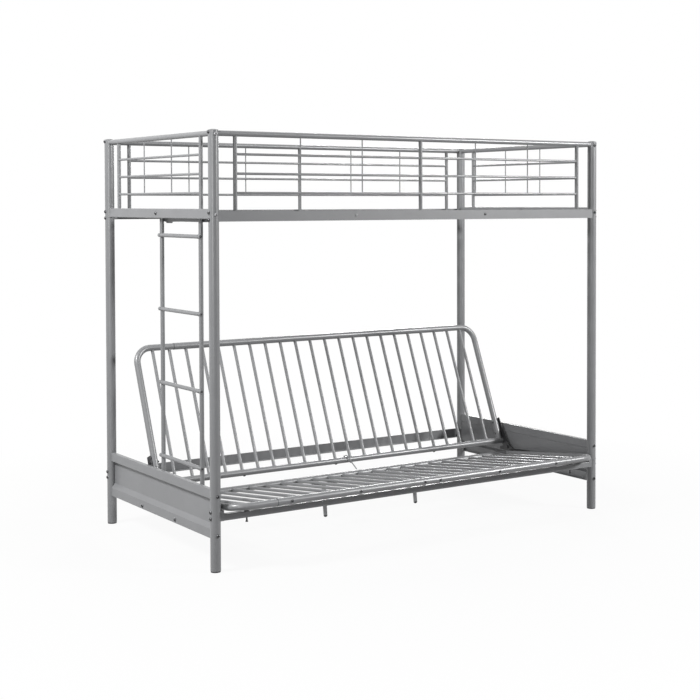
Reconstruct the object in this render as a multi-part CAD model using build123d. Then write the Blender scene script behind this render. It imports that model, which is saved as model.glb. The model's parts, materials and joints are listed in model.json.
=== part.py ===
"""Sofa to bunk bed: a steel bunk over a folding sofa that opens into a bed. Millimetres, +Z up.

The origin lies on the floor under the middle of the whole outline. +X runs along the bed and
+Y runs from the front to the wall side. Each function below makes one sub-part.
"""

from build123d import *
import math
import os

# Posts of the bunk
POST_PITCH_X = 1940.0
POST_PITCH_Y = 1008.0
POST_DIAMETER = 41.0
POST_WALL = 1.2
POST_TOP = 1701.0
CAP_RISE = 5.0
CAP_STUB = 18.0
FOOT_HEIGHT = 5.0
FOOT_DIAMETER = 39.0

# Clearances between pieces
WELD_GAP = 0.1
FIT_GAP = 0.3
PLUG_GAP = 0.2
SHAFT_GAP = 0.05
OVERRUN = 5.0

# Guard around the upper bunk
TOP_RAIL_DIAMETER = 22.0
TOP_RAIL_WALL = 1.0
GUARD_TOP_Z = 1690.0
GUARD_BAR_DIAMETER = 10.0
GUARD_BAR_WALL = 1.0
LOWEST_BAR_Z = 1461.0
BAR_SPACING = 75.0
BAR_COUNT = 3
UPRIGHT_DIAMETER = 16.0
UPRIGHT_WALL = 1.0
SIDE_UPRIGHT_REACH = 877.0
END_UPRIGHT_REACH = 397.0
WIRE_DIAMETER = 5.0
SIDE_WIRES_PER_BAY = 2
END_WIRES = 2

# Rails that carry the upper mattress
UPPER_RAIL_BOTTOM = 1351.0
UPPER_RAIL_HEIGHT = 40.0
RAIL_FACE_REACH = 17.0
RAIL_WALL = 1.5
LEDGE_WIDTH = 30.0
LEDGE_RISE = 9.0
SADDLE_DEPTH = 8.0
END_RAIL_BOTTOM = 1361.0
END_RAIL_HEIGHT = 39.0
END_RAIL_WIDTH = 20.0
BOX_WALL = 1.2
BOX_CORNER = 3.0
CENTRE_BAR_HEIGHT = 16.0
CENTRE_BAR_WIDTH = 20.0
CENTRE_BAR_BRACKET = 6.0
CENTRE_BAR_ARM = 26.0
CROSS_BAR_REACH = 333.0
CROSS_BAR_WIDTH = 20.0
SLAT_HEIGHT = 22.0
SLAT_WIDTH = 28.0
SLAT_WALL = 1.0
SLAT_PITCH = 146.0
SLAT_COUNT = 12

# Ladder inside the left end
STILE_DIAMETER = 18.0
STILE_WALL = 1.2
FRONT_STILE_Y = 150.0
REAR_STILE_Y = 508.0
STILE_BOTTOM = 286.0
STILE_TOP = 1360.0
RUNG_DIAMETER = 16.0
RUNG_WALL = 1.2
RUNG_OUTWARD = 6.0
RUNG_HEAD_DIAMETER = 9.0
FIRST_RUNG_Z = 376.0
RUNG_SPACING = 304.8
RUNG_COUNT = 4
RUNG_OVERHANG = 4.0
HANGER_THICKNESS = 3.0
HANGER_HEIGHT = 14.0
HANGER_BOTTOM = 1347.5
HANGER_REACH = 88.0
PAD_LENGTH = 54.0
PAD_HEIGHT = 7.0
PAD_INSET = 23.0
PAD_CORNER = 3.0

# Lower ends: a box rail over a formed sheet
LOWER_END_TOP = 317.5
LOWER_END_RAIL_HEIGHT = 38.0
LOWER_END_BOTTOM = 127.0
SHEET_THICKNESS = 1.2
SHEET_RECESS = 16.0
SHEET_FLANGE_HEIGHT = 36.0
SHEET_SLOPE_HEIGHT = 18.0
SHEET_LIP_WIDTH = 18.0
SHEET_TAB = 12.0

# Lower side rails
LOWER_RAIL_BOTTOM = 197.0
LOWER_FRONT_HEIGHT = 25.0
LOWER_FRONT_WIDTH = 27.0
LOWER_SADDLE_HEIGHT = 41.0
LOWER_SADDLE_INNER = 8.0
LOWER_REAR_HEIGHT = 43.0
LOWER_REAR_FLANGE = 25.0
BUMPER_INSET = 134.0
BUMPER_DIAMETER = 20.0
BUMPER_HEIGHT = 7.0
BUMPER_BOLT = 6.5
BUMPER_NUT = 11.0
BUMPER_NUT_HEIGHT = 5.0

# Futon frames: the seat and the back have the same width
STILE_CLEARANCE = 0.4
SEAT_DEPTH = 644.0
BACK_DEPTH = 599.0
FRAME_TUBE = 28.0
MIDDLE_TUBE = 30.0
FRAME_WALL = 1.2
SEAM_INSET = 182.0
SEAT_CORNER = 73.0
BACK_CORNER = 70.0
SPIGOT_LENGTH = 40.0
SPIGOT_GAP = 0.3
FRAME_SLAT = 14.0
FRAME_SLAT_WALL = 1.0
FRAME_SLAT_PITCH = 80.2
FRAME_SLAT_COUNT = 22
SEAT_FRONT_REACH = 74.0
SEAT_FRONT_Z = 254.6
BED_Z = 243.0
SEAT_TILT = 6.75
BACK_ANGLE = 67.0

# Mechanism at each end of the futon
PIVOT_BEHIND = 9.6
PIVOT_ABOVE = 30.0
PIVOT_TO_BACK = 42.9
BRACKET_SIZE = 100.0
BRACKET_THICKNESS = 2.4
BRACKET_GAP = 0.3
TRACK_ALONG = 344.0
TRACK_TRAVEL_Y = 224.0
TRACK_THICKNESS = 3.0
TRACK_OFFSET = 13.0
TRACK_SLOT = 16.6
TRACK_MARGIN = 8.0
TRACK_FOOT_Y = 340.0
TRACK_TAIL_Y = 660.0
TRACK_BOLT_Z = 140.0
TRACK_STRIP = 12.0
TRACK_REAR_MARGIN = 20.0
BLOCK_LENGTH = 30.0
BLOCK_THICKNESS = 6.0
BLOCK_RIM = 24.0
BLOCK_RIM_THICKNESS = 2.5
PIVOT_BOLT = 8.0

# Link wire in the middle of the futon
LINK_WIRE = 5.0
LINK_TOP_X = 8.0
LINK_FRONT_X = 14.0
LINK_END_X = 40.0
LINK_BEND = 8.0
LINK_TAIL = 6.0
LINK_END_ALONG = -13.4
LINK_END_UP = 4.9

# Seat legs
LEG_ALONG = 479.0
LEG_DROP = 153.0
LEG_TOP_DIAMETER = 20.0
LEG_FOOT_DIAMETER = 17.0
LEG_FOOT_HEIGHT = 9.0
LEG_PLATE_THICKNESS = 3.0
LEG_PLATE_DEPTH = 60.0
LEG_PLATE_LAP = 6.0

# Bolts
BOLT_DIAMETER = 6.0
BOLT_HEAD_DIAMETER = 14.0
BOLT_HEAD_HEIGHT = 4.5
BOLT_GRIP = 12.0
SMALL_BOLT_DIAMETER = 5.0
SMALL_HEAD_DIAMETER = 12.0
SMALL_HEAD_HEIGHT = 3.0
BOLT_STAGGER = 4.0
UPPER_BOLT_Z = (1357.0, 1385.0)
END_RAIL_BOLT_Z = 1377.0
LOWER_BOLT_Z = (207.0, 232.0)
LOWER_END_BOLT_Z = (142.0, 294.0)
SEAT_BOLT_X = (-680.0, -358.0, -39.0, 39.0, 358.0, 680.0)
BACK_BOLT_X = (-515.0, -41.0, 41.0, 515.0)
BUMPER_BOLT_DROP = 16.0

POST_RADIUS = POST_DIAMETER / 2
POST_X = POST_PITCH_X / 2
FRONT_OUTLINE = SEAT_FRONT_REACH + MIDDLE_TUBE / 2 + SMALL_HEAD_HEIGHT
REAR_OUTLINE = POST_RADIUS + BOLT_HEAD_HEIGHT
FRONT_Y = (FRONT_OUTLINE - REAR_OUTLINE - POST_PITCH_Y) / 2
REAR_Y = FRONT_Y + POST_PITCH_Y
MIDDLE_Y = (FRONT_Y + REAR_Y) / 2
ENDS = {"left": -1, "right": 1}

# The futon frames pass inside the ladder, with two layers of brackets between
LADDER_X = -POST_X + END_RAIL_WIDTH / 2 + PLUG_GAP + STILE_DIAMETER / 2
BRACKET_REACH = -LADDER_X - STILE_DIAMETER / 2 - STILE_CLEARANCE
FRAME_REACH = BRACKET_REACH - 2 * (BRACKET_THICKNESS + BRACKET_GAP) - FRAME_TUBE / 2
MIDDLE_REACH = FRAME_REACH - SEAM_INSET


def vector_x(x, point):
    """The point with another X."""
    return Vector(x, point.Y, point.Z)


def seat_point(x, along, up=0.0):
    """A place on the seat frame: along it from the front tube, and up from its plane."""
    tilt = math.radians(SEAT_TILT)
    y = FRONT_Y - SEAT_FRONT_REACH + along * math.cos(tilt) + up * math.sin(tilt)
    return Vector(x, y, SEAT_FRONT_Z - along * math.sin(tilt) + up * math.cos(tilt))


PIVOT = seat_point(0, SEAT_DEPTH + PIVOT_BEHIND, PIVOT_ABOVE)
TRACK_START = seat_point(0, TRACK_ALONG)
TRACK_END = Vector(0, TRACK_START.Y - TRACK_TRAVEL_Y, BED_Z)


def back_point(x, along, up=0.0):
    """A place on the back frame: along it from the pivot, and up on the mattress side."""
    angle = math.radians(BACK_ANGLE)
    y = PIVOT.Y + along * math.cos(angle) - up * math.sin(angle)
    return Vector(x, y, PIVOT.Z + along * math.sin(angle) + up * math.cos(angle))


def bar(start, end, diameter):
    """A round bar between two points."""
    run = Vector(end) - Vector(start)
    return Solid.make_cylinder(diameter / 2, run.length, Plane(Vector(start), z_dir=run))


def trim(solid, *tools):
    """The largest piece that is left of a solid when the tools are cut from it."""
    return max(solid.cut(*tools).solids(), key=lambda piece: piece.volume)


def join(solid, *others):
    """One solid from solids that meet."""
    return solid.fuse(*others).solids()[0]


def tube(start, end, diameter, wall):
    """A round tube between two points."""
    run = (Vector(end) - Vector(start)).normalized() * OVERRUN
    bore = bar(Vector(start) - run, Vector(end) + run, diameter - 2 * wall)
    return trim(bar(start, end, diameter), bore)


def block(x_span, y_span, z_span):
    """A box between two places on each axis, in any order."""
    low = [min(span) for span in (x_span, y_span, z_span)]
    sizes = [abs(span[1] - span[0]) for span in (x_span, y_span, z_span)]
    return Solid.make_box(*sizes, Plane(Vector(*low)))


def prism(points, depth):
    """A flat outline pushed along a vector."""
    face = Face(Wire.make_polygon([Vector(point) for point in points], close=True))
    return Solid.extrude(face, Vector(depth))


def box_tube(x_span, y_span, z_span, axis, wall):
    """A square-section tube along X or Y."""
    spans = [sorted(span) for span in (x_span, y_span, z_span)]
    inner = [[span[0] + wall, span[1] - wall] for span in spans]
    inner["XYZ".index(axis)] = [spans["XYZ".index(axis)][0] - OVERRUN, spans["XYZ".index(axis)][1] + OVERRUN]
    outer = block(*spans)
    long_edges = outer.edges().filter_by(Axis.X if axis == "X" else Axis.Y)
    return trim(outer.fillet(BOX_CORNER, long_edges), block(*inner))


def swept_tube(points, bends, diameter, wall):
    """A tube bent along a line through points, with a bend at each inner one."""
    path = FilletPolyline(*points, radius=bends)
    start = Plane(Vector(points[0]), z_dir=Vector(points[1]) - Vector(points[0]))
    outer = sweep(start * Circle(diameter / 2), path=path).solid()
    if not wall:
        return outer
    return trim(outer, sweep(start * Circle(diameter / 2 - wall), path=path).solid())


def dome(centre, diameter, rim, rise):
    """A round disc with a domed top."""
    radius = diameter / 2
    ball = (radius**2 + rise**2) / (2 * rise)
    middle = rim + rise - ball + math.sqrt(ball**2 - radius**2 / 4)
    sides = Polyline((0, rim + rise), (0, 0), (radius, 0), (radius, rim))
    top = ThreePointArc((radius, rim), (radius / 2, middle), (0, rim + rise))
    return Pos(*Vector(centre)) * revolve(Plane.XZ * make_face(sides + top), Axis.Z).solid()


def bolt(seat, direction, length, diameter=BOLT_DIAMETER, head=BOLT_HEAD_DIAMETER, height=BOLT_HEAD_HEIGHT):
    """A bolt with a button head: its head's underside is at seat, its shank runs along direction."""
    seat, direction = Vector(seat), Vector(direction).normalized()
    frame = Plane(seat, z_dir=direction * -1)
    cap = frame * dome((0, 0, 0), head, height / 3, height * 2 / 3)
    return join(cap, bar(seat, seat + direction * length, diameter))


def bolt_hole(seat, direction, length, diameter=BOLT_DIAMETER):
    """The hole for a bolt, which also clears a head that sits on its seat."""
    seat, direction = Vector(seat), Vector(direction).normalized()
    return bar(seat - direction * OVERRUN, seat + direction * length, diameter + 2 * PLUG_GAP)


def post_axis(x_sign, y):
    """A post as a solid bar, a little larger, to shape what meets it."""
    x = x_sign * POST_X
    return bar((x, y, 0), (x, y, POST_TOP), POST_DIAMETER + 2 * WELD_GAP)


def post_bolts(x_sign, y):
    """Seat, direction and length of each bolt through one post."""
    length = POST_DIAMETER + BOLT_GRIP
    x, y_sign = x_sign * POST_X, 1 if y > MIDDLE_Y else -1
    along_x = [GUARD_TOP_Z + BOLT_STAGGER, *UPPER_BOLT_Z, *LOWER_BOLT_Z]
    along_y = [GUARD_TOP_Z - BOLT_STAGGER, END_RAIL_BOLT_Z, *LOWER_END_BOLT_Z]
    seats = [((x + x_sign * (POST_RADIUS + WELD_GAP), y, z), (-x_sign, 0, 0), length) for z in along_x]
    seats += [((x, y + y_sign * (POST_RADIUS + WELD_GAP), z), (0, -y_sign, 0), length) for z in along_y]
    return seats


def all_post_bolts():
    """Every bolt through the four posts."""
    return [spec for x_sign in ENDS.values() for y in (FRONT_Y, REAR_Y) for spec in post_bolts(x_sign, y)]


def post(x_sign, y):
    """One post tube with its bolt holes."""
    x = x_sign * POST_X
    body = tube((x, y, FOOT_HEIGHT), (x, y, POST_TOP), POST_DIAMETER, POST_WALL)
    return trim(body, *[bolt_hole(*spec) for spec in post_bolts(x_sign, y)])


def post_cap(x_sign, y):
    """A domed cap with a stub in the post."""
    x = x_sign * POST_X
    stub_diameter = POST_DIAMETER - 2 * POST_WALL - 2 * PLUG_GAP
    stub = tube((x, y, POST_TOP), (x, y, POST_TOP - CAP_STUB), stub_diameter, POST_WALL)
    plug_bolts = [bolt_hole(*spec) for spec in post_bolts(x_sign, y)]
    top = dome((x, y, POST_TOP), POST_DIAMETER, CAP_RISE / 4, CAP_RISE * 3 / 4)
    return join(top, trim(stub, *plug_bolts))


def post_foot(x_sign, y):
    """A glide plugged into the foot of a post."""
    x = x_sign * POST_X
    stub = bar((x, y, 0), (x, y, CAP_STUB), POST_DIAMETER - 2 * POST_WALL - 2 * PLUG_GAP)
    return join(bar((x, y, 0), (x, y, FOOT_HEIGHT), FOOT_DIAMETER), stub)


def guard_top_rail(side):
    """One round rail between two posts, shaped to them and drilled for its bolts."""
    z = GUARD_TOP_Z
    if side in ENDS:
        x = ENDS[side] * POST_X
        start, end = (x, FRONT_Y, z), (x, REAR_Y, z)
        posts = [post_axis(ENDS[side], y) for y in (FRONT_Y, REAR_Y)]
    else:
        y = FRONT_Y if side == "front" else REAR_Y
        start, end = (-POST_X, y, z), (POST_X, y, z)
        posts = [post_axis(sign, y) for sign in ENDS.values()]
    rail = tube(start, end, TOP_RAIL_DIAMETER, TOP_RAIL_WALL)
    ends = []
    for near, far in ((start, end), (end, start)):
        inward = (Vector(far) - Vector(near)).normalized()
        ends.append(bar(near, Vector(near) + inward * (POST_RADIUS + BOLT_GRIP), TOP_RAIL_DIAMETER))
    return trim(join(rail, *ends), *posts, *[bolt_hole(*spec) for spec in all_post_bolts()])


def guard_place(side, reach, z):
    """A place on the line of one guard, reach from its middle."""
    if side in ENDS:
        return Vector(ENDS[side] * POST_X, MIDDLE_Y + reach, z)
    return Vector(reach, FRONT_Y if side == "front" else REAR_Y, z)


def guard_reaches(side):
    """Where the uprights of one guard stand."""
    if side in ENDS:
        return [-END_UPRIGHT_REACH, END_UPRIGHT_REACH]
    return [-SIDE_UPRIGHT_REACH, 0, SIDE_UPRIGHT_REACH]


def top_rail_line(side):
    """The top rail of one guard as a solid bar, to shape what meets it."""
    reach = POST_PITCH_Y / 2 if side in ENDS else POST_X
    ends = [guard_place(side, sign * reach, GUARD_TOP_Z) for sign in ENDS.values()]
    return bar(*ends, TOP_RAIL_DIAMETER + 2 * WELD_GAP)


def guard_uprights(side):
    """Upright tubes from the side or end rail to the top rail."""
    foot = END_RAIL_BOTTOM + END_RAIL_HEIGHT if side in ENDS else UPPER_RAIL_BOTTOM + LEDGE_RISE + RAIL_WALL
    uprights = []
    for reach in guard_reaches(side):
        low, high = guard_place(side, reach, foot + WELD_GAP), guard_place(side, reach, GUARD_TOP_Z)
        uprights.append(trim(tube(low, high, UPRIGHT_DIAMETER, UPRIGHT_WALL), top_rail_line(side)))
    return uprights


def guard_bars(side):
    """Three rows of bars between the uprights."""
    bars, reaches = [], guard_reaches(side)
    for row in range(BAR_COUNT):
        z = LOWEST_BAR_Z + row * BAR_SPACING
        for near, far in zip(reaches, reaches[1:]):
            span = tube(guard_place(side, near, z), guard_place(side, far, z), GUARD_BAR_DIAMETER, GUARD_BAR_WALL)
            uprights = []
            for reach in (near, far):
                low, high = guard_place(side, reach, z - BAR_SPACING), guard_place(side, reach, z + BAR_SPACING)
                uprights.append(bar(low, high, UPRIGHT_DIAMETER + 2 * WELD_GAP))
            bars.append(trim(span, *uprights))
    return bars


def bar_line(side, z):
    """One row of guard bars as a solid bar, to shape what meets it."""
    reach = guard_reaches(side)[-1]
    return bar(guard_place(side, -reach, z), guard_place(side, reach, z), GUARD_BAR_DIAMETER + 2 * WELD_GAP)


def guard_wires():
    """Thin upright wires between the rows of bars and the top rail, all round."""
    wires = []
    rows = [LOWEST_BAR_Z + row * BAR_SPACING for row in range(BAR_COUNT)]
    for side in ("front", "rear", *ENDS):
        lines = [*[bar_line(side, z) for z in rows], top_rail_line(side)]
        reaches = guard_reaches(side)
        count = END_WIRES if side in ENDS else SIDE_WIRES_PER_BAY
        for near, far in zip(reaches, reaches[1:]):
            for index in range(count):
                reach = near + (far - near) * (index + 1) / (count + 1)
                for row, (low, high) in enumerate(zip(rows, [*rows[1:], GUARD_TOP_Z])):
                    wire = bar(guard_place(side, reach, low), guard_place(side, reach, high), WIRE_DIAMETER)
                    wires.append(trim(wire, lines[row], lines[row + 1]))
    return wires


def vector_up(point, z):
    """The point at another height."""
    return Vector(point.X, point.Y, z)


def end_block_reach():
    """Where the end blocks of the side rails begin."""
    return POST_X - POST_RADIUS - SADDLE_DEPTH


def end_blocks(y_span, z_span):
    """A block at each end of a side rail, reaching into the posts."""
    return [block((sign * POST_X, sign * end_block_reach()), y_span, z_span) for sign in ENDS.values()]


def fitted_to_posts(solid, y, bolts=()):
    """A solid shaped to the two posts of one side and drilled."""
    posts = [post_axis(sign, y) for sign in ENDS.values()]
    holes = [bolt_hole(*spec) for spec in (*all_post_bolts(), *bolts)]
    return trim(solid, *posts, *holes)


def fitted_side_rail(rail, y, y_span, z_span, bolts):
    """A side rail with an end block at each post, shaped to the posts and drilled."""
    return fitted_to_posts(join(rail, *end_blocks(y_span, z_span)), y, bolts)


def upper_side_rail(side):
    """A side rail: a flat face outside, a ledge for the slats inside, an end block at each post."""
    y, out = (FRONT_Y, -1) if side == "front" else (REAR_Y, 1)
    face, bottom = y + out * RAIL_FACE_REACH, UPPER_RAIL_BOTTOM
    x_span, z_span = (-POST_X, POST_X), (bottom, bottom + UPPER_RAIL_HEIGHT)
    web = block(x_span, (face, face - out * RAIL_WALL), z_span)
    ledge_z = bottom + LEDGE_RISE
    ledge = block(x_span, (face, face - out * LEDGE_WIDTH), (ledge_z, ledge_z + RAIL_WALL))
    return fitted_side_rail(join(web, ledge), y, (face, y - out * RAIL_FACE_REACH), z_span, cross_bar_bolts())


def upper_end_rail(side):
    """A box rail between the two posts of one end."""
    x, half = ENDS[side] * POST_X, END_RAIL_WIDTH / 2
    z_span = (END_RAIL_BOTTOM, END_RAIL_BOTTOM + END_RAIL_HEIGHT)
    rail = box_tube((x - half, x + half), (FRONT_Y, REAR_Y), z_span, "Y", BOX_WALL)
    return drilled_end_rail(rail, side, z_span)


def drilled_end_rail(rail, side, z_span):
    """An end rail with plugs in its ends, shaped to the posts and drilled."""
    x, half = ENDS[side] * POST_X, END_RAIL_WIDTH / 2 - BOX_WALL
    plugs = []
    for y, inward in ((FRONT_Y, 1), (REAR_Y, -1)):
        y_span = (y, y + inward * (POST_RADIUS + BOLT_GRIP))
        plugs.append(block((x - half, x + half), y_span, (min(z_span) + BOX_WALL, max(z_span) - BOX_WALL)))
    posts = [post_axis(ENDS[side], y) for y in (FRONT_Y, REAR_Y)]
    holes = [bolt_hole(*spec) for spec in (*all_post_bolts(), *centre_bar_bolts())]
    return trim(join(rail, *plugs), *posts, *holes)


def ledge_top():
    """Height that the slats and cross bars rest at."""
    return UPPER_RAIL_BOTTOM + LEDGE_RISE + RAIL_WALL


def centre_bar_bolts():
    """One bolt through the middle of each upper end rail."""
    specs = []
    for sign in ENDS.values():
        seat = (sign * (POST_X + END_RAIL_WIDTH / 2), MIDDLE_Y, END_RAIL_BOTTOM + END_RAIL_HEIGHT / 2)
        specs.append((seat, (-sign, 0, 0), END_RAIL_WIDTH + BOLT_GRIP))
    return specs


def mattress_centre_bar():
    """A bar under the slats, hung from both end rails by cranked ends."""
    half, top = CENTRE_BAR_WIDTH / 2, ledge_top() - FIT_GAP
    stile_inner = POST_X - END_RAIL_WIDTH / 2 - PLUG_GAP - STILE_DIAMETER - HANGER_THICKNESS - 2 * FIT_GAP
    reach = stile_inner - CENTRE_BAR_BRACKET
    y_span = (MIDDLE_Y - half, MIDDLE_Y + half)
    arm_low = STILE_TOP + OVERRUN
    pieces = [box_tube((-reach, reach), y_span, (top - CENTRE_BAR_HEIGHT, top), "X", BOX_WALL)]
    for sign in ENDS.values():
        crank = (sign * reach, sign * (reach + CENTRE_BAR_BRACKET / 2))
        pieces.append(block(crank, y_span, (top - CENTRE_BAR_HEIGHT, arm_low + CENTRE_BAR_ARM)))
        arm = (sign * reach, sign * (POST_X - END_RAIL_WIDTH / 2 - WELD_GAP))
        pieces.append(block(arm, y_span, (arm_low, arm_low + CENTRE_BAR_ARM)))
    return trim(join(*pieces), *[bolt_hole(*spec) for spec in centre_bar_bolts()])


def cross_bar_bolts():
    """The screws that hold the cross bars to the faces of the side rails."""
    specs, z = [], ledge_top() + SLAT_HEIGHT / 2
    for x in (-CROSS_BAR_REACH, CROSS_BAR_REACH):
        for y, out in ((FRONT_Y, -1), (REAR_Y, 1)):
            seat = (x, y + out * RAIL_FACE_REACH, z)
            specs.append((seat, (0, -out, 0), BOLT_GRIP, SMALL_BOLT_DIAMETER))
    return specs


def inner_span():
    """The Y span between the faces of the two side rails, less a fit."""
    reach = RAIL_FACE_REACH - RAIL_WALL - FIT_GAP
    return (FRONT_Y - reach, REAR_Y + reach)


def mattress_cross_bars():
    """Two box bars screwed between the side rails."""
    bars, half = [], CROSS_BAR_WIDTH / 2
    low = ledge_top() + WELD_GAP
    for x in (-CROSS_BAR_REACH, CROSS_BAR_REACH):
        body = box_tube((x - half, x + half), inner_span(), (low, low + SLAT_HEIGHT), "Y", BOX_WALL)
        ends = []
        for y, inward in ((inner_span()[0], 1), (inner_span()[1], -1)):
            y_span = (y, y + inward * BOLT_GRIP)
            z_span = (low + BOX_WALL, low + SLAT_HEIGHT - BOX_WALL)
            ends.append(block((x - half + BOX_WALL, x + half - BOX_WALL), y_span, z_span))
        bars.append(trim(join(body, *ends), *[bolt_hole(*spec) for spec in cross_bar_bolts()]))
    return bars


def mattress_slats():
    """Pressed channel slats across the ledges."""
    slats, half, low = [], SLAT_WIDTH / 2, ledge_top() + WELD_GAP
    for index in range(SLAT_COUNT):
        x = (index - (SLAT_COUNT - 1) / 2) * SLAT_PITCH
        outer = block((x - half, x + half), inner_span(), (low, low + SLAT_HEIGHT))
        y_span = (inner_span()[0] - OVERRUN, inner_span()[1] + OVERRUN)
        z_span = (low - OVERRUN, low + SLAT_HEIGHT - SLAT_WALL)
        slats.append(trim(outer, block((x - half + SLAT_WALL, x + half - SLAT_WALL), y_span, z_span)))
    return slats


def rung_bar(index, grow=0.0):
    """One rung as a solid bar, through both stiles."""
    x, z = LADDER_X - RUNG_OUTWARD, FIRST_RUNG_Z + index * RUNG_SPACING
    reach = STILE_DIAMETER / 2 + RUNG_OVERHANG
    start = (x, FRONT_Y + FRONT_STILE_Y - reach, z)
    return bar(start, (x, FRONT_Y + REAR_STILE_Y + reach, z), RUNG_DIAMETER + grow)


def ladder_stile(offset):
    """One stile with holes for the rungs."""
    y = FRONT_Y + offset
    body = tube((LADDER_X, y, STILE_BOTTOM), (LADDER_X, y, STILE_TOP), STILE_DIAMETER, STILE_WALL)
    holes = [rung_bar(index, 2 * WELD_GAP) for index in range(RUNG_COUNT)]
    return trim(body, *holes, *[bolt_hole(*spec) for spec in ladder_foot_bolts()])


def ladder_foot_bolts():
    """Screws through the feet of the stiles into the lower end rail."""
    specs, z = [], (STILE_BOTTOM + LOWER_END_TOP) / 2
    for offset in (FRONT_STILE_Y, REAR_STILE_Y):
        seat = (LADDER_X + STILE_DIAMETER / 2, FRONT_Y + offset, z)
        specs.append((seat, (-1, 0, 0), STILE_DIAMETER + END_RAIL_WIDTH / 2, SMALL_BOLT_DIAMETER))
    return specs


def rung_bolts():
    """A bolt in the front end of each rung."""
    specs, reach = [], STILE_DIAMETER / 2 + RUNG_OVERHANG
    for index in range(RUNG_COUNT):
        seat = (LADDER_X - RUNG_OUTWARD, FRONT_Y + FRONT_STILE_Y - reach, FIRST_RUNG_Z + index * RUNG_SPACING)
        specs.append((seat, (0, 1, 0), BOLT_GRIP, SMALL_BOLT_DIAMETER))
    return specs


def ladder_rungs():
    """Tubular rungs, closed at both ends."""
    rungs = []
    for index in range(RUNG_COUNT):
        x, z = LADDER_X - RUNG_OUTWARD, FIRST_RUNG_Z + index * RUNG_SPACING
        near, far = FRONT_Y + FRONT_STILE_Y, FRONT_Y + REAR_STILE_Y
        bore = bar((x, near, z), (x, far, z), RUNG_DIAMETER - 2 * RUNG_WALL)
        rungs.append(trim(rung_bar(index), bore, *[bolt_hole(*spec) for spec in rung_bolts()]))
    return rungs


def hanger_x():
    """Outer and inner X of the hanger plate."""
    near = LADDER_X + STILE_DIAMETER / 2 + WELD_GAP
    return (near, near + HANGER_THICKNESS)


def ladder_hanger():
    """A flat bar behind the tops of the stiles."""
    y_span = (FRONT_Y + FRONT_STILE_Y - HANGER_REACH, FRONT_Y + REAR_STILE_Y + STILE_DIAMETER / 2)
    return block(hanger_x(), y_span, (HANGER_BOTTOM, HANGER_BOTTOM + HANGER_HEIGHT))


def hanger_pad():
    """A dark rounded pad under the hanger plate, in front of the rear stile."""
    far = FRONT_Y + REAR_STILE_Y - PAD_INSET
    top = HANGER_BOTTOM - WELD_GAP
    pad = block(hanger_x(), (far - PAD_LENGTH, far), (top - PAD_HEIGHT, top))
    return pad.fillet(PAD_CORNER, pad.edges().filter_by(Axis.X))


def lower_end_rail(side):
    """The box rail along the top of one lower end."""
    x, half = ENDS[side] * POST_X, END_RAIL_WIDTH / 2
    z_span = (LOWER_END_TOP - LOWER_END_RAIL_HEIGHT, LOWER_END_TOP)
    rail = box_tube((x - half, x + half), (FRONT_Y, REAR_Y), z_span, "Y", BOX_WALL)
    rail = drilled_end_rail(rail, side, z_span)
    if side == "left":
        rail = trim(rail, *[bolt_hole(*spec) for spec in ladder_foot_bolts()])
    return rail


def end_sheet(side):
    """The formed sheet of one lower end: recessed face, sloped step, bolted flange and bottom lip."""
    x, out = ENDS[side] * POST_X, ENDS[side]
    top = LOWER_END_TOP - LOWER_END_RAIL_HEIGHT - WELD_GAP
    outer = END_RAIL_WIDTH / 2
    face = outer - SHEET_RECESS
    flange_top = LOWER_END_BOTTOM + SHEET_FLANGE_HEIGHT
    slope_top = flange_top + SHEET_SLOPE_HEIGHT
    t = SHEET_THICKNESS
    profile = [
        (face, top), (face, slope_top), (outer, flange_top), (outer, LOWER_END_BOTTOM),
        (outer - SHEET_LIP_WIDTH, LOWER_END_BOTTOM), (outer - SHEET_LIP_WIDTH, LOWER_END_BOTTOM + t),
        (outer - t, LOWER_END_BOTTOM + t), (outer - t, flange_top - t), (face - t, slope_top - t), (face - t, top),
    ]
    points = [(x + out * reach, FRONT_Y, z) for reach, z in profile]
    sheet = trim(prism(points, (0, POST_PITCH_Y, 0)), *[post_axis(out, y) for y in (FRONT_Y, REAR_Y)])
    tabs = []
    for y, inward in ((FRONT_Y, 1), (REAR_Y, -1)):
        y_span = (y, y + inward * (POST_RADIUS + SHEET_TAB))
        tab = block((x + out * (outer - t), x - out * (outer - t)), y_span, (LOWER_END_BOTTOM + t, flange_top - t))
        tabs.append(trim(tab, post_axis(out, y)))
    holes = [bolt_hole(*spec) for spec in (*all_post_bolts(), *track_bolts(side))]
    return trim(join(sheet, *tabs), *holes)


def lower_front_rail():
    """A low box rail that the seat passes over, welded to a taller block at each end."""
    y, z = FRONT_Y, LOWER_RAIL_BOTTOM
    y_span = (y - RAIL_FACE_REACH, y - RAIL_FACE_REACH + LOWER_FRONT_WIDTH)
    reach = end_block_reach() - WELD_GAP
    rail = box_tube((-reach, reach), y_span, (z, z + LOWER_FRONT_HEIGHT), "X", BOX_WALL)
    block_span = (y - RAIL_FACE_REACH, y + LOWER_SADDLE_INNER)
    ends = [fitted_to_posts(end, y) for end in end_blocks(block_span, (z, z + LOWER_SADDLE_HEIGHT))]
    return [fitted_to_posts(rail, y, bumper_bolts()), *ends]


def lower_rear_rail():
    """An angle rail along the back, open towards the futon."""
    face, z = REAR_Y + RAIL_FACE_REACH, LOWER_RAIL_BOTTOM
    z_span = (z, z + LOWER_REAR_HEIGHT)
    web = block((-POST_X, POST_X), (face, face - RAIL_WALL), z_span)
    flange = block((-POST_X, POST_X), (face, face - LOWER_REAR_FLANGE), (z, z + RAIL_WALL))
    return fitted_side_rail(join(web, flange), REAR_Y, (face, REAR_Y - RAIL_FACE_REACH), z_span, ())


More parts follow.
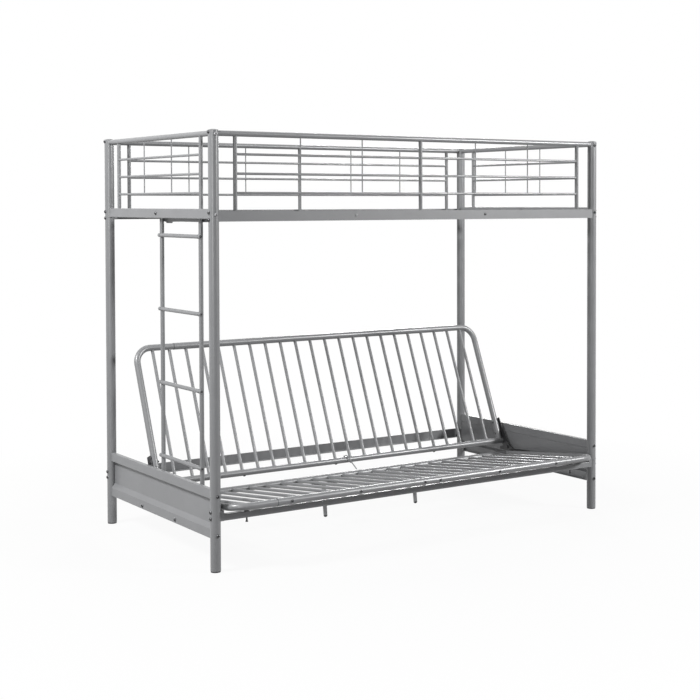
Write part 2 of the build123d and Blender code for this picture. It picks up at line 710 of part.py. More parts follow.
def bumper_place(sign):
    """Middle of one bumper, on top of the lower front rail."""
    y = FRONT_Y - RAIL_FACE_REACH + LOWER_FRONT_WIDTH / 2
    return Vector(sign * (POST_X - BUMPER_INSET), y, LOWER_RAIL_BOTTOM + LOWER_FRONT_HEIGHT)


def bumper_bolts():
    """Long bolts that hang under the lower front rail and hold the bumpers."""
    length = LOWER_FRONT_HEIGHT + BUMPER_HEIGHT + BUMPER_BOLT_DROP
    seats = [bumper_place(sign) + Vector(0, 0, BUMPER_HEIGHT / 2) for sign in ENDS.values()]
    return [(seat, (0, 0, -1), length, BUMPER_BOLT) for seat in seats]


def bumper_nuts():
    """Nuts low on the hanging bolts."""
    nuts = []
    for seat, direction, length, diameter in bumper_bolts():
        low = Vector(seat) + Vector(direction) * (length - WELD_GAP)
        high = low - Vector(direction) * BUMPER_NUT_HEIGHT
        hexagon = RegularPolygon(BUMPER_NUT / 2, 6)
        body = Solid.extrude((Plane(low) * hexagon).faces()[0], high - low)
        beyond = Vector(0, 0, OVERRUN)
        nuts.append(trim(body, bar(low - beyond, high + beyond, diameter + 2 * WELD_GAP)))
    return nuts


def seat_bumper(sign):
    """A rubber bumper round its bolt."""
    place = bumper_place(sign)
    low, high = place + Vector(0, 0, WELD_GAP), place + Vector(0, 0, BUMPER_HEIGHT)
    pocket_low, pocket_high = place + Vector(0, 0, BUMPER_HEIGHT / 2), high + Vector(0, 0, OVERRUN)
    pocket = bar(pocket_low, pocket_high, SMALL_HEAD_DIAMETER + 2 * PLUG_GAP)
    holes = [bolt_hole(*spec) for spec in bumper_bolts()]
    return trim(bar(low, high, BUMPER_DIAMETER), pocket, *holes)


def track_x(side):
    """Outer and inner X of the track plate of one end."""
    sign = ENDS[side]
    return (sign * (POST_X - TRACK_OFFSET), sign * (POST_X - TRACK_OFFSET - TRACK_THICKNESS))


def track_bolts(side):
    """The two bolts that hold a track plate to the flange of its end sheet."""
    sign, length = ENDS[side], END_RAIL_WIDTH / 2 + TRACK_OFFSET + TRACK_THICKNESS + OVERRUN
    seats = [(sign * (POST_X + END_RAIL_WIDTH / 2), FRONT_Y + y, TRACK_BOLT_Z) for y in (TRACK_FOOT_Y, TRACK_TAIL_Y)]
    return [(seat, (-sign, 0, 0), length) for seat in seats]


def seat_track(side):
    """The slotted plate that the seat slides in, with a rest for the pivot bolt."""
    sign = ENDS[side]
    margin = TRACK_SLOT / 2 + TRACK_MARGIN
    front, tail = FRONT_Y + POST_RADIUS / 2, FRONT_Y + TRACK_TAIL_Y + TRACK_REAR_MARGIN
    start, end, half = TRACK_START, TRACK_END, BLOCK_LENGTH / 2
    rest_z = PIVOT.Z - PIVOT_BOLT / 2 - FIT_GAP
    low, strip = TRACK_BOLT_Z - TRACK_STRIP, TRACK_BOLT_Z + TRACK_STRIP
    outline = [
        (front, end.Z + margin), (end.Y, end.Z + margin), (start.Y + half, start.Z + margin),
        (start.Y + half + margin, start.Z), (FRONT_Y + TRACK_FOOT_Y + margin, strip),
        (PIVOT.Y - margin, strip), (PIVOT.Y - margin, rest_z), (PIVOT.Y + margin, rest_z),
        (PIVOT.Y + 2 * margin, strip), (tail, strip), (tail, low), (FRONT_Y + TRACK_FOOT_Y - margin, low),
        (start.Y - half, start.Z - margin), (end.Y, end.Z - margin), (front, end.Z - margin),
    ]
    outer, inner = track_x(side)
    plate = prism([(outer, y, z) for y, z in outline], (inner - outer, 0, 0))
    run = (end - start).normalized()
    slot_axes = (start - run * (half + FIT_GAP), end + run * (half + FIT_GAP))
    across = Vector(0, run.Z, -run.Y) * (TRACK_SLOT / 2)
    corners = [slot_axes[0] + across, slot_axes[1] + across, slot_axes[1] - across, slot_axes[0] - across]
    slot = prism([vector_x(outer + sign * OVERRUN, point) for point in corners], (-sign * 4 * OVERRUN, 0, 0))
    holes = [bolt_hole(*spec) for spec in track_bolts(side)]
    return trim(plate, slot, post_axis(sign, FRONT_Y), *holes)


def track_spacers():
    """Bushes between the flange of each end sheet and its track plate."""
    bushes = []
    for side, sign in ENDS.items():
        for seat, direction, _ in track_bolts(side):
            near = Vector(seat) + Vector(direction) * (SHEET_THICKNESS + WELD_GAP)
            far = vector_x(track_x(side)[0] + sign * WELD_GAP, near)
            beyond = Vector(sign * OVERRUN, 0, 0)
            hole = bar(near + beyond, far - beyond, BOLT_DIAMETER + 2 * PLUG_GAP)
            bushes.append(trim(bar(near, far, BOLT_HEAD_DIAMETER), hole))
    return bushes


def bracket_x(side, layer):
    """Outer and inner X of a bracket plate: layer 0 lies beside the frame, layer 1 outside it."""
    near = FRAME_REACH + FRAME_TUBE / 2 + BRACKET_GAP + layer * (BRACKET_THICKNESS + BRACKET_GAP)
    sign = ENDS[side]
    return (sign * (near + BRACKET_THICKNESS), sign * near)


def slide_block(side):
    """The block that runs in the slot of a track plate and carries the seat's side bolt."""
    sign, half = ENDS[side], BLOCK_LENGTH / 2
    run = (TRACK_END - TRACK_START).normalized()
    across = Vector(0, run.Z, -run.Y) * (TRACK_SLOT / 2 - FIT_GAP)
    corners = [TRACK_START + run * a + across * b for a, b in ((half, 1), (-half, 1), (-half, -1), (half, -1))]
    outer = track_x(side)[0] + sign * (BLOCK_THICKNESS - TRACK_THICKNESS) / 2
    body = prism([vector_x(outer, point) for point in corners], (-sign * BLOCK_THICKNESS, 0, 0))
    rim_near = vector_x(track_x(side)[1] - sign * FIT_GAP, TRACK_START)
    rim = bar(rim_near, rim_near - Vector(sign * BLOCK_RIM_THICKNESS, 0, 0), BLOCK_RIM)
    beyond = Vector(sign * 4 * OVERRUN, 0, 0)
    hole = bar(rim_near + beyond, rim_near - beyond, PIVOT_BOLT + 2 * SHAFT_GAP)
    return trim(join(body, rim), hole)


def end_tube(side, place, along, up, corner_radius):
    """The bent end tube of a futon frame, with a spigot for the middle tube.

    The tube turns from the tube at along[0] into the side that runs to along[1].
    """
    sign = ENDS[side]
    seam, corner, foot = place(sign * MIDDLE_REACH, along[0], up), place(sign * FRAME_REACH, along[0], up), \
        place(sign * FRAME_REACH, along[1], up)
    body = swept_tube([seam, corner, foot], corner_radius, FRAME_TUBE, FRAME_WALL)
    inward = Vector(-sign, 0, 0)
    spigot = MIDDLE_TUBE - 2 * FRAME_WALL - 2 * SPIGOT_GAP
    sleeve = tube(seam - inward * OVERRUN, seam + inward * SPIGOT_LENGTH, spigot, FRAME_WALL)
    return trim(join(body, sleeve), cross_tube_line(place, along[1], up, FRAME_TUBE))


def cross_tube_line(place, along, up, diameter):
    """A tube across the futon frame as a solid bar, to shape what meets it."""
    reach = FRAME_REACH + FRAME_TUBE / 2
    return bar(place(-reach, along, up), place(reach, along, up), diameter + 2 * WELD_GAP)


def middle_tube(place, along, up):
    """The straight middle of the bent frame, seamed to both end tubes."""
    reach = MIDDLE_REACH - WELD_GAP
    return tube(place(-reach, along, up), place(reach, along, up), MIDDLE_TUBE, FRAME_WALL)


def straight_tube(place, along, up):
    """The straight tube on the open side of the frame, closed at its ends."""
    reach = FRAME_REACH + FRAME_TUBE / 2
    bore = bar(place(-FRAME_REACH, along, up), place(FRAME_REACH, along, up), FRAME_TUBE - 2 * FRAME_WALL)
    return trim(bar(place(-reach, along, up), place(reach, along, up), FRAME_TUBE), bore)


def frame_slat_x():
    """The X of each slat of a futon frame."""
    return [(index - (FRAME_SLAT_COUNT - 1) / 2) * FRAME_SLAT_PITCH for index in range(FRAME_SLAT_COUNT)]


def frame_slats(place, along, up):
    """Round slats between the two long tubes of a frame, from along[0] to along[1]."""
    slats = []
    for x in frame_slat_x():
        long_tube = MIDDLE_TUBE if abs(x) < MIDDLE_REACH else FRAME_TUBE
        body = tube(place(x, along[0], up), place(x, along[1], up), FRAME_SLAT, FRAME_SLAT_WALL)
        ends = [cross_tube_line(place, along[0], up, long_tube), cross_tube_line(place, along[1], up, FRAME_TUBE)]
        slats.append(trim(body, *ends))
    return slats


SEAT_SPAN = (0.0, SEAT_DEPTH)
BACK_SPAN = (PIVOT_TO_BACK + BACK_DEPTH, PIVOT_TO_BACK)
BACK_UP = -PIVOT_ABOVE

# Bracket outlines as shares of the bracket size: seat plates run along from the rear tube, back
# plates from the pivot
SEAT_BRACKET_BOLT_SHARES = (-1.39, -0.79, -0.27)
SEAT_BRACKET_SHARES = (
    (-1.59, -0.07), (-1.59, 0.15), (-0.39, 0.22), (-0.07, 0.38), (0.26, 0.38), (0.69, 0.32), (0.69, 0.20),
    (0.29, 0.16), (0.01, -0.08), (-0.29, -0.10),
)
BACK_BRACKET_BOLT_SHARES = (0.82, 1.36)
BACK_BRACKET_SHARES = {
    "left": (
        (-0.14, -0.10), (-0.14, 0.10), (0.04, 0.14), (0.60, -0.04), (1.00, -0.16), (1.16, -0.23),
        (1.64, -0.23), (1.64, -0.58), (1.00, -0.58), (0.40, -0.46), (0.08, -0.26),
    ),
    "right": (
        (-0.14, -0.10), (-0.14, 0.10), (0.04, 0.14), (0.60, -0.02), (1.55, -0.12), (1.55, -0.28),
        (1.00, -0.42), (0.40, -0.46), (0.08, -0.26),
    ),
}


def back_bolt_places():
    """Distance of each bracket bolt along the back from the pivot."""
    return [BRACKET_SIZE * share for share in BACK_BRACKET_BOLT_SHARES]


def bracket_outline(shares, start=0.0):
    """Points of a bracket, with start added to their places along the frame."""
    return [(start + BRACKET_SIZE * along, BRACKET_SIZE * up) for along, up in shares]


def plate_with_holes(side, layer, place, outline, bolts, bolt_up):
    """A bracket plate with its pivot hole and bolt holes."""
    outer, inner = bracket_x(side, layer)
    plate = prism([place(outer, along, up) for along, up in outline], (inner - outer, 0, 0))
    reach = Vector(4 * OVERRUN, 0, 0)
    pivot = vector_x(outer, PIVOT)
    tools = [bar(pivot - reach, pivot + reach, PIVOT_BOLT + 2 * SHAFT_GAP)]
    for along in bolts:
        centre = place(outer, along, bolt_up)
        tools.append(bar(centre - reach, centre + reach, SMALL_BOLT_DIAMETER + 2 * PLUG_GAP))
    return trim(plate, *tools)


def seat_brackets():
    """Black plates on the outer sides of the seat, which carry the pivot bolts."""
    outline = bracket_outline(SEAT_BRACKET_SHARES, SEAT_DEPTH)
    return [plate_with_holes(side, 0, seat_point, outline, seat_bolt_places(), 0) for side in ENDS]


def seat_bolt_places():
    """Distance of each bracket bolt along the seat."""
    return [SEAT_DEPTH + BRACKET_SIZE * share for share in SEAT_BRACKET_BOLT_SHARES]


def back_brackets():
    """Black plates on the outer sides of the back, which turn on the pivot bolts."""
    return [
        plate_with_holes(
            side, 1, back_point, bracket_outline(BACK_BRACKET_SHARES[side]), back_bolt_places(), BACK_UP)
        for side in ENDS
    ]


def side_bolt(side, place, along, up, seat_x, length):
    """A small bolt across a side tube, its head outside."""
    sign = ENDS[side]
    seat = place(sign * seat_x, along, up)
    return (seat, (-sign, 0, 0), length, SMALL_BOLT_DIAMETER, SMALL_HEAD_DIAMETER, SMALL_HEAD_HEIGHT / 2)


def seat_bracket_bolts(side):
    """Bolts through the seat bracket and the side tube."""
    seat_x = abs(bracket_x(side, 0)[0])
    length = BRACKET_THICKNESS + FRAME_TUBE
    return [side_bolt(side, seat_point, along, 0, seat_x, length) for along in seat_bolt_places()]


def back_bracket_bolts(side):
    """Bolts through the back bracket, its spacers and the side tube."""
    seat_x = abs(bracket_x(side, 1)[0])
    length = 2 * BRACKET_THICKNESS + FRAME_TUBE
    return [side_bolt(side, back_point, along, BACK_UP, seat_x, length) for along in back_bolt_places()]


def back_spacers():
    """Washers between the back brackets and the side tubes."""
    washers, reach = [], Vector(4 * OVERRUN, 0, 0)
    for side, sign in ENDS.items():
        near = sign * (FRAME_REACH + FRAME_TUBE / 2 + WELD_GAP)
        far = bracket_x(side, 1)[1] - sign * WELD_GAP
        for along in back_bolt_places():
            start, end = back_point(near, along, BACK_UP), back_point(far, along, BACK_UP)
            hole = bar(start - reach, end + reach, SMALL_BOLT_DIAMETER + 2 * PLUG_GAP)
            washers.append(trim(bar(start, end, BOLT_HEAD_DIAMETER), hole))
    return washers


def slide_bolt(side):
    """The bolt that joins the side tube of the seat to its slide block."""
    sign = ENDS[side]
    inner = vector_x(sign * (FRAME_REACH - FRAME_TUBE / 2 - SMALL_HEAD_HEIGHT), TRACK_START)
    outer = vector_x(track_x(side)[0] + sign * BLOCK_THICKNESS / 2, TRACK_START)
    return bar(inner, outer, PIVOT_BOLT)


def pivot_bolt(side):
    """The bolt that the back turns on, fixed in the seat bracket, with a collar inside it."""
    sign = ENDS[side]
    outer = vector_x(track_x(side)[0] + sign * TRACK_THICKNESS / 2, PIVOT)
    near = bracket_x(side, 0)[1] - sign * BRACKET_GAP
    inner = vector_x(near, PIVOT)
    collar = bar(inner, vector_x(near - sign * BOLT_HEAD_HEIGHT, PIVOT), BOLT_HEAD_DIAMETER)
    return join(bar(inner, outer, PIVOT_BOLT), collar)


def front_tube_bolts():
    """Bolts in the front face of the seat's front tube."""
    specs, angle = [], math.radians(SEAT_TILT)
    for x in SEAT_BOLT_X:
        radius = (MIDDLE_TUBE if abs(x) < MIDDLE_REACH else FRAME_TUBE) / 2
        if abs(x) > FRAME_REACH - SEAT_CORNER:
            radius = FRAME_TUBE / 2
        direction = Vector(0, 1, 0)
        seat = seat_point(x, 0) - direction * radius
        specs.append((seat, direction, 2 * radius * math.cos(angle), SMALL_BOLT_DIAMETER, SMALL_HEAD_DIAMETER,
                      SMALL_HEAD_HEIGHT))
    return specs


def back_tube_bolts():
    """Bolts that come up through the bottom tube of the back."""
    specs = []
    for x in BACK_BOLT_X:
        seat = back_point(x, PIVOT_TO_BACK - FRAME_TUBE / 2, BACK_UP)
        direction = back_point(x, PIVOT_TO_BACK, BACK_UP) - seat
        length = FRAME_TUBE - SMALL_HEAD_HEIGHT
        specs.append((seat, direction, length, SMALL_BOLT_DIAMETER, SMALL_HEAD_DIAMETER, SMALL_HEAD_HEIGHT))
    return specs


def link_wire():
    """The bent wire that hooks over the bottom tube of the back and reaches the seat's rear tube."""
    rise = FRAME_TUBE / 2 + LINK_WIRE / 2 + FIT_GAP
    points = [
        back_point(LINK_TOP_X, PIVOT_TO_BACK + rise, BACK_UP - LINK_TAIL),
        back_point(LINK_FRONT_X, PIVOT_TO_BACK + rise, BACK_UP + rise),
        back_point(LINK_END_X, LINK_END_ALONG, LINK_END_UP),
    ]
    return swept_tube(points, LINK_BEND, LINK_WIRE, 0)


def leg_x():
    """Each leg stands midway between two slats."""
    reach = FRAME_SLAT_PITCH * 3
    return (-reach, reach)


def leg_plates():
    """Plates welded under two slats each, which the legs are fixed to."""
    plates = []
    for x in leg_x():
        half = (FRAME_SLAT_PITCH + FRAME_SLAT) / 2 + LEG_PLATE_LAP
        top = -FRAME_SLAT / 2 - WELD_GAP
        rows = (LEG_ALONG - LEG_PLATE_DEPTH / 2, LEG_ALONG + LEG_PLATE_DEPTH / 2)
        corners = [seat_point(x - half, rows[0], top), seat_point(x + half, rows[0], top),
                   seat_point(x + half, rows[1], top), seat_point(x - half, rows[1], top)]
        down = seat_point(0, 0, -LEG_PLATE_THICKNESS) - seat_point(0, 0, 0)
        plates.append(prism(corners, down))
    return plates


def leg_plane(x, drop):
    """A plane across a leg, facing down the leg."""
    return Plane(seat_point(x, LEG_ALONG, -drop), z_dir=seat_point(0, 0, -1) - seat_point(0, 0, 0))


def seat_legs():
    """Tapered legs under the seat."""
    legs, top = [], FRAME_SLAT / 2 + LEG_PLATE_THICKNESS + 2 * WELD_GAP
    length = LEG_DROP - LEG_FOOT_HEIGHT - top
    for x in leg_x():
        plane = leg_plane(x, top)
        outer = Solid.make_cone(LEG_TOP_DIAMETER / 2, LEG_FOOT_DIAMETER / 2, length, plane)
        inner = Solid.make_cone(LEG_TOP_DIAMETER / 2 - BOX_WALL, LEG_FOOT_DIAMETER / 2 - BOX_WALL, length, plane)
        legs.append(trim(outer, inner))
    return legs


def leg_feet():
    """Dark rounded tips of the legs."""
    feet = []
    for x in leg_x():
        plane = leg_plane(x, LEG_DROP - LEG_FOOT_HEIGHT + WELD_GAP)
        feet.append(plane * dome((0, 0, 0), LEG_FOOT_DIAMETER, LEG_FOOT_HEIGHT / 3, LEG_FOOT_HEIGHT * 2 / 3))
    return feet


def drilled(solid, specs):
    """A solid with a hole for each bolt."""
    return trim(solid, *[bolt_hole(*spec[:4]) for spec in specs])


def save(node, *solids):
    """Writes one sub-part."""
    export_step(Compound(list(solids)), f"parts/{node}.step")


def build_bunk():
    """Writes every piece of the fixed frame."""
    for end, sign in ENDS.items():
        save(f"post_front_{end}", post(sign, FRONT_Y))
        save(f"post_rear_{end}", post(sign, REAR_Y))
    corners = [(sign, y) for sign in ENDS.values() for y in (FRONT_Y, REAR_Y)]
    save("post_caps", *[post_cap(*corner) for corner in corners])
    save("post_feet", *[post_foot(*corner) for corner in corners])
    for side in ("front", "rear", *ENDS):
        save(f"guard_top_rail_{side}", guard_top_rail(side))
        save(f"guard_uprights_{side}", *guard_uprights(side))
        save(f"guard_bars_{side}", *guard_bars(side))
    save("guard_wires", *guard_wires())
    for side in ("front", "rear"):
        save(f"upper_side_rail_{side}", upper_side_rail(side))
    for side in ENDS:
        save(f"upper_end_rail_{side}", upper_end_rail(side))
        save(f"lower_end_rail_{side}", lower_end_rail(side))
        save(f"end_sheet_{side}", end_sheet(side))
        save(f"seat_track_{side}", seat_track(side))
    save("mattress_centre_bar", mattress_centre_bar())
    save("mattress_cross_bars", *mattress_cross_bars())
    save("mattress_slats", *mattress_slats())
    save("ladder_stile_front", ladder_stile(FRONT_STILE_Y))
    save("ladder_stile_rear", ladder_stile(REAR_STILE_Y))
    save("ladder_rungs", *ladder_rungs())
    save("ladder_hanger", ladder_hanger(), hanger_pad())
    save("lower_front_rail", *lower_front_rail())
    save("lower_rear_rail", lower_rear_rail())
    save("seat_bumpers", *[seat_bumper(sign) for sign in ENDS.values()])
    save("track_spacers", *track_spacers())
    track = [spec for side in ENDS for spec in track_bolts(side)]
    bolts = [bolt(*spec) for spec in (*all_post_bolts(), *centre_bar_bolts(), *track)]
    small = (SMALL_HEAD_DIAMETER, SMALL_HEAD_HEIGHT)
    bolts += [bolt(*spec, *small) for spec in (*cross_bar_bolts(), *ladder_foot_bolts())]
    bolts += [bolt(*spec, RUNG_HEAD_DIAMETER, SMALL_HEAD_HEIGHT) for spec in rung_bolts()]
    bolts += [bolt(*spec, SMALL_HEAD_DIAMETER, BUMPER_HEIGHT / 2 - WELD_GAP) for spec in bumper_bolts()]
    save("frame_bolts", *bolts, *bumper_nuts())


def build_seat():
    """Writes the slide blocks and every piece of the seat."""
    save("slide_blocks", *[slide_block(side) for side in ENDS])
    for side in ENDS:
        body = end_tube(side, seat_point, SEAT_SPAN, 0, SEAT_CORNER)
        body = drilled(body, [*seat_bracket_bolts(side), *front_tube_bolts()])
        save(f"seat_end_{side}", trim(body, slide_bolt_hole(side)))
    save("seat_front_tube", drilled(middle_tube(seat_point, SEAT_SPAN[0], 0), front_tube_bolts()))
    save("seat_rear_tube", straight_tube(seat_point, SEAT_SPAN[1], 0))
    save("seat_slats", *frame_slats(seat_point, SEAT_SPAN, 0))
    save("seat_brackets", *seat_brackets())
    bracket_bolts = [spec for side in ENDS for spec in seat_bracket_bolts(side)]
    save("seat_bolts", *[bolt(*spec) for spec in (*front_tube_bolts(), *bracket_bolts)])
    save("pivot_bolts", *[pivot_bolt(side) for side in ENDS], *[slide_bolt(side) for side in ENDS])
    save("seat_legs", *seat_legs(), *leg_plates())
    save("seat_leg_feet", *leg_feet())


def slide_bolt_hole(side):
    """The hole across the side tube for the slide bolt."""
    reach = Vector(ENDS[side] * FRAME_TUBE, 0, 0)
    centre = vector_x(ENDS[side] * FRAME_REACH, TRACK_START)
    return bar(centre - reach, centre + reach, PIVOT_BOLT + 2 * PLUG_GAP)


def build_back():
    """Writes every piece of the back."""
    for side in ENDS:
        body = end_tube(side, back_point, BACK_SPAN, BACK_UP, BACK_CORNER)
        save(f"back_end_{side}", drilled(body, back_bracket_bolts(side)))
    save("back_top_tube", middle_tube(back_point, BACK_SPAN[0], BACK_UP))
    save("back_bottom_tube", drilled(straight_tube(back_point, BACK_SPAN[1], BACK_UP), back_tube_bolts()))
    save("back_slats", *frame_slats(back_point, BACK_SPAN, BACK_UP))
    save("back_brackets", *back_brackets())
    bracket_bolts = [spec for side in ENDS for spec in back_bracket_bolts(side)]
    save("back_bolts", *[bolt(*spec) for spec in (*back_tube_bolts(), *bracket_bolts)], *back_spacers())
    save("back_link_wire", link_wire())


def print_joints():
    """Prints the places and ranges of the joints."""
    run = TRACK_END - TRACK_START
    print("front post Y", FRONT_Y, "rear post Y", REAR_Y)
    print("slide from", TRACK_START, "direction", run.normalized(), "travel", run.length)
    print("seat hinge at", TRACK_START, "turn", SEAT_TILT)
    print("back hinge at", PIVOT, "turn", SEAT_TILT + BACK_ANGLE)


os.makedirs("parts", exist_ok=True)
build_bunk()
build_seat()
build_back()
print_joints()
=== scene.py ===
"""Looks for the sofa to bunk bed. Metres, in the frame of the CAD model."""

import json
import math
import random

import bmesh
import bpy
from mathutils import Matrix, Vector


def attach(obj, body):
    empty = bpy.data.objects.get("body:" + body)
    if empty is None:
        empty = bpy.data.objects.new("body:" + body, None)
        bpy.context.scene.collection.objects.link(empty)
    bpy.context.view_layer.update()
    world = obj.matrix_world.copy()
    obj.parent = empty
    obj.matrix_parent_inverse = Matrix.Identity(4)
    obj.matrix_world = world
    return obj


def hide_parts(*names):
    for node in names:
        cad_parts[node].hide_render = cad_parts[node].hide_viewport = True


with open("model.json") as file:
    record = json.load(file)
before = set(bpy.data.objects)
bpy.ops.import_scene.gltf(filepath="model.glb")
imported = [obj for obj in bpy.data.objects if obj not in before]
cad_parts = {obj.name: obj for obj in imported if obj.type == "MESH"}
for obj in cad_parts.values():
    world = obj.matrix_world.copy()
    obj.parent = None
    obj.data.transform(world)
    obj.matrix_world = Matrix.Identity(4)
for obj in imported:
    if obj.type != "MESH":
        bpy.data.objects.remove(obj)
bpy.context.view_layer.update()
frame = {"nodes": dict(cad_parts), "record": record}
random.seed(7)

# Places and radii shared with the frame
FRONT_Y, REAR_Y = -0.4705, 0.5375
MIDDLE_Y = (FRONT_Y + REAR_Y) / 2
POST_X, POST_RADIUS = 0.970, 0.0205
ENDS = (-1, 1)
GUARD_TOP_Z, GUARD_BAR_Z = 1.690, (1.461, 1.536, 1.611)
TOP_RAIL, GUARD_BAR, UPRIGHT = 0.011, 0.005, 0.008
SIDE_UPRIGHTS, END_UPRIGHTS = (-0.877, 0.0, 0.877), (-0.397, 0.397)
SIDE_RAIL_TOP, END_RAIL_TOP = 1.3616, 1.4001
SEAT_ORIGIN = Vector((0, FRONT_Y - 0.074, 0.2546))
SEAT_TILT, SEAT_DEPTH = math.radians(6.75), 0.644
PIVOT, BACK_ANGLE = Vector((0, 0.108096, 0.207570)), math.radians(67.0)
BACK_START, BACK_DEPTH, BACK_UP = 0.0429, 0.599, -0.030
SLAT_COUNT, SLAT_STEP, SLAT = 22, 0.0802, 0.007
SLATS = [(index - (SLAT_COUNT - 1) / 2) * SLAT_STEP for index in range(SLAT_COUNT)]
FRAME_TUBE, MIDDLE_TUBE, MIDDLE_REACH, FRAME_REACH = 0.014, 0.015, 0.740, 0.922
LADDER_X, RUNG_X, STILE, RUNG = -0.9508, -0.9568, 0.009, 0.008
STILE_Y = (FRONT_Y + 0.150, FRONT_Y + 0.508)
RUNG_COUNT, RUNG_START, RUNG_STEP = 4, 0.376, 0.3048
RUNG_Z = [RUNG_START + RUNG_STEP * index for index in range(RUNG_COUNT)]

# Screws: diameter of the shank, diameter of the head, height of the head
LARGE_SCREW, SMALL_SCREW = (0.006, 0.014, 0.0045), (0.005, 0.012, 0.003)
FLAT_SCREW, RUNG_SCREW = (0.005, 0.012, 0.0015), (0.005, 0.009, 0.003)
BUMPER_SCREW = (0.0065, 0.012, 0.0033)

# Where the screws sit, and the lengths of their shanks
FIT_GAP, POST_SHANK = 0.0001, 2 * POST_RADIUS + 0.012
POST_SCREWS_ALONG_X = (1.694, 1.357, 1.385, 0.207, 0.232)
POST_SCREWS_ALONG_Y = (1.686, 1.377, 0.142, 0.294)
END_FACE, END_RAIL_SCREW_Z, END_RAIL_SHANK = POST_X + 0.010, 1.3805, 0.030
PANEL_SCREWS, PANEL_SCREW_Z, PANEL_SHANK = (0.340, 0.660), 0.140, 0.028
CROSS_BAR_X, CROSS_BAR_SCREW_Z, RAIL_FACE = 0.333, 1.3725, 0.017
STILE_SCREW_Z, STILE_SHANK, SHORT_SHANK, STILE_FRONT = 0.30175, 0.026, 0.012, 0.013
BUMPER_X, BUMPER_Y, BUMPER_SCREW_Z = 0.836, FRONT_Y - 0.0035, 0.2255
BUMPER_SHANK, BUMPER_TIP = 0.048, 0.0479
THREAD_TURNS, THREAD_START, THREAD_PITCH = 9, 0.006, 0.0012
SEAT_SCREWS, SEAT_SHANK = (-0.680, -0.358, -0.039, 0.039, 0.358, 0.680), 0.0297
SEAT_BRACKET_SCREWS, SEAT_BRACKET_FACE = (-0.139, -0.079, -0.027), 0.9387
SEAT_BRACKET_SHANK = 0.0304
BACK_SCREWS, BACK_SHANK = (-0.515, -0.041, 0.041, 0.515), 0.025
BACK_BRACKET_SCREWS, BACK_BRACKET_FACE = (0.082, 0.136), 0.9414
BACK_BRACKET_SHANK, WASHER_FACE = 0.0328, 0.9361

# Profile of a screw head: share of its radius, share of its height, share of a hexagon
BUTTON_HEAD = (
    (0.96, 0, 0), (1, 0.08, 0), (1, 0.3, 0), (0.95, 0.52, 0), (0.84, 0.74, 0), (0.68, 0.92, 0),
    (0.56, 1, 0), (0.48, 1, 1), (0.45, 0.94, 1), (0.44, 0.35, 1),
)

# Profiles of other turned details: radius, height, share of a hexagon
BUMPER_NUT = (
    (0.0034, 0, 0), (0.0048, 0, 1), (0.0055, 0.0006, 1), (0.0055, 0.0044, 1), (0.0048, 0.005, 1),
    (0.0034, 0.005, 0),
)
THREAD_RIDGE = ((0.00325, 0, 0), (0.0036, 0.0004, 0), (0.00325, 0.0008, 0))
WASHER = (
    (0.0028, 0, 0), (0.0066, 0, 0), (0.007, 0.0004, 0), (0.007, 0.0024, 0), (0.0066, 0.0028, 0),
    (0.0028, 0.0028, 0),
)
CAP_NUT = (
    (0.0055, -0.0006, 1), (0.0055, 0.0022, 1), (0.0048, 0.0028, 0.5), (0.0036, 0.0046, 0),
    (0.0016, 0.0056, 0),
)
# Black rings at the sleeve joints of the long tubes: painted shadow of the step at each joint
SEAM_HALF, SEAM_INSIDE, SEAM_OUTSIDE = 0.0006, FRAME_TUBE - 0.0004, MIDDLE_TUBE - 0.0001
SEAM = (
    (SEAM_INSIDE, -SEAM_HALF, 0), (SEAM_OUTSIDE, -SEAM_HALF, 0), (SEAM_OUTSIDE, SEAM_HALF, 0),
    (SEAM_INSIDE, SEAM_HALF, 0),
)
SEAM_OFFSET, SEAM_SIDES, TURNED_SIDES = 0.0007, 48, 24
SHARP_ANGLE = math.radians(35)

# Weld beads: their radii, the face of a stile, and the ripples along them
SLAT_BEAD, TUBE_BEAD, UPRIGHT_BEAD, BAR_BEAD, RUNG_BEAD = 0.0011, 0.0012, 0.001, 0.0009, 0.001
BEAD_STEPS, BEAD_SIDES, STILE_FACE = 28, 6, 0.0088
RIPPLE, RIPPLE_TURN, UNEVENNESS = 0.16, 2.4, 0.08

# Noise in the materials: scale, detail, roughness
TONE_NOISE, FLAKE_NOISE = (7.0, 4.0, 0.6), (1700.0, 1.0, 0.5)
GLOSS_NOISE, PEEL_NOISE = (40.0, 4.0, 0.6), (650.0, 2.0, 0.5)
MOULD_TONE_NOISE, MOULD_GLOSS_NOISE = (60.0, 3.0, 0.6), (300.0, 2.0, 0.5)
GRAIN_NOISE = (2200.0, 1.0, 0.5)

# Ranges of the noise that are used, and what it does
NOISE_RANGE, FLAKE_RANGE, FLAKE_SHARE = (0.3, 0.7), (0.62, 0.78), 0.35
SMOOTHER, ROUGHER, MOULD_GLOSS = 0.012, 0.014, 0.06
RUB_GAIN, RUB_LIFT, MOULD_GAIN, WELD_SHARE = 1.35, 0.01, 1.25, 0.9
PEEL_DEPTH, GRAIN_DEPTH, GRAIN_STRENGTH, COAT_SPECULAR = 0.0002, 0.0001, 0.15, 0.35


def seat_point(x, along, up=0.0):
    """A place on the seat: along it from its front tube, and up from its plane."""
    step = Vector((0, math.cos(SEAT_TILT), -math.sin(SEAT_TILT)))
    rise = Vector((0, math.sin(SEAT_TILT), math.cos(SEAT_TILT)))
    return Vector((x, 0, 0)) + SEAT_ORIGIN + step * along + rise * up


def back_point(x, along, up):
    """A place on the back: along it from the pivot, and up on the mattress side."""
    step = Vector((0, math.cos(BACK_ANGLE), math.sin(BACK_ANGLE)))
    rise = Vector((0, -math.sin(BACK_ANGLE), math.cos(BACK_ANGLE)))
    return Vector((x, 0, 0)) + PIVOT + step * along + rise * up


